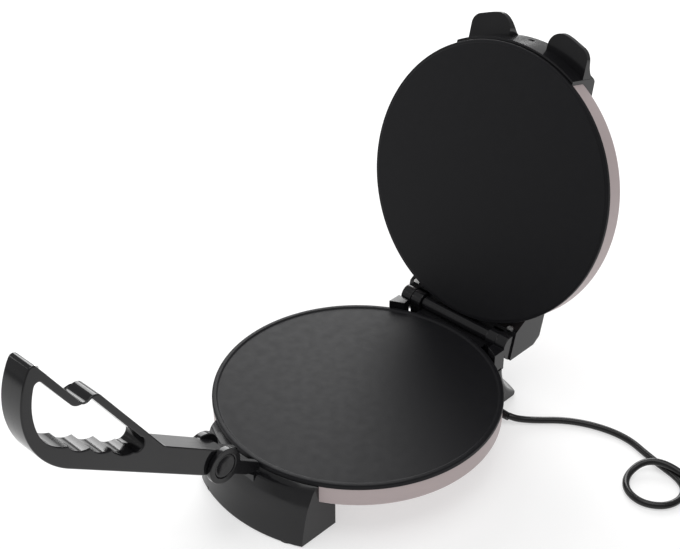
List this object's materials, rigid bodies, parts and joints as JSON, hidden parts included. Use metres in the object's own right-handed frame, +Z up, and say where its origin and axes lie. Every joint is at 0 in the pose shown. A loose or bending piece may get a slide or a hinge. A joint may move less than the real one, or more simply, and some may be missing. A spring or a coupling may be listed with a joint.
{
  "type": "electric roti maker",
  "caption": "Countertop flatbread press: two heated round plates in a hinged clamshell, with a long loop handle on a front yoke, a flared foot at each end and a mains cord.",
  "frame": {"origin": "centre of the lower plate's cooking face", "axes": "+Z up, the handle at -Y, the lid's hinge at +Y, +X to the right as seen from the handle"},
  "size_m": [0.582, 0.589, 0.3436],
  "materials": {
    "cooking_coating": "non-stick coating, dark grey, matte",
    "cover_enamel": "taupe enamel on pressed sheet, satin",
    "housing_black": "moulded black plastic, glossy",
    "handle_black": "moulded black plastic, glossy",
    "pivot_steel": "turned steel",
    "fastener_steel": "zinc-plated steel",
    "heater_steel": "heater sheath, dull steel",
    "cord_black": "flexible black cord sheath",
    "pad_rubber": "grey-black rubber",
    "terminal_white": "heat-resistant moulding, off-white",
    "pin_brass": "bare brass",
    "lamp_red": "translucent red plastic"
  },
  "bodies": {
    "base": {"lower_plate": "cooking_coating", "lower_cover": "cover_enamel", "front_foot": "housing_black", "rear_foot": "housing_black", "foot_pads": "pad_rubber", "base_screws": "fastener_steel", "lower_heater": "heater_steel", "lower_heater_clamps": "fastener_steel", "lower_standoffs": "fastener_steel", "thermostat": "terminal_white", "thermal_fuse": "heater_steel", "terminal_block": "terminal_white", "pivot_pin": "pivot_steel", "pivot_caps": "handle_black", "hinge_pin": "pivot_steel", "cord_gland": "cord_black", "cord_run": "cord_black", "cord_coil": "cord_black", "plug_lead": "cord_black", "plug_body": "cord_black", "plug_pins": "pin_brass"},
    "lid": {"upper_plate": "cooking_coating", "upper_cover": "cover_enamel", "lid_front_bracket": "housing_black", "lid_rear_bracket": "housing_black", "lamp_lenses": "lamp_red", "upper_heater": "heater_steel", "upper_heater_clamps": "fastener_steel", "upper_standoffs": "fastener_steel", "lid_screws": "fastener_steel"},
    "handle": {"handle_right_half": "handle_black", "handle_left_half": "handle_black", "handle_screws": "fastener_steel"}
  },
  "joints": [
    {"name": "lid_hinge", "type": "hinge", "parent": "base", "child": "lid", "pos_m": [0, 0.14, 0.006], "axis": [1, 0, 0], "range_deg": [0, 104]},
    {"name": "handle_pivot", "type": "hinge", "parent": "base", "child": "handle", "pos_m": [0, -0.1745, 0.028], "axis": [-1, 0, 0], "range_deg": [0, 106]}
  ]
}
